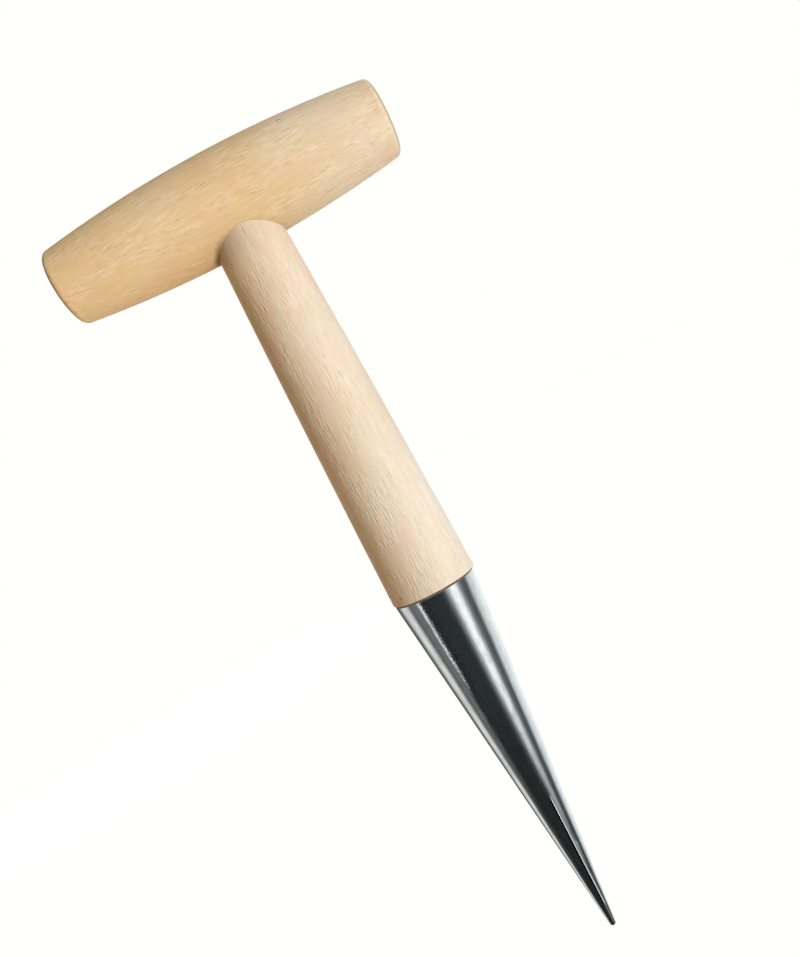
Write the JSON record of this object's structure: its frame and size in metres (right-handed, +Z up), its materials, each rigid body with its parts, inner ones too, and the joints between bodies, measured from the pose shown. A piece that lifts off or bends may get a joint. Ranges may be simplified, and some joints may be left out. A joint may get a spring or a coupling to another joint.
{
  "type": "bulb planter",
  "caption": "T-handled hand dibber for planting bulbs: turned wooden cross grip, tapered wooden shaft and a pointed sheet-steel cone that is pushed into the soil.",
  "frame": {"origin": "the middle of the blunt lower tip, on the shaft's axis", "axes": "+Z up the shaft's axis to the grip; X along the grip; -Y is the front, where the steel's seam lies, and +Y the back, where its nail is"},
  "size_m": [0.115, 0.0326, 0.28],
  "materials": {
    "grip_wood": "smooth sanded golden beech, thin clear oil",
    "shaft_wood": "smooth sanded pale beech, thin clear oil",
    "dowel_wood": "raw fluted beech, glued",
    "polished_steel": "polished sheet steel with fine lengthwise scratches",
    "brad_steel": "plain wire-nail steel, slightly dull"
  },
  "bodies": {
    "root": {"grip": "grip_wood", "shaft": "shaft_wood", "joint_dowel": "dowel_wood", "steel_point": "polished_steel", "point_brad": "brad_steel"}
  },
  "joints": []
}
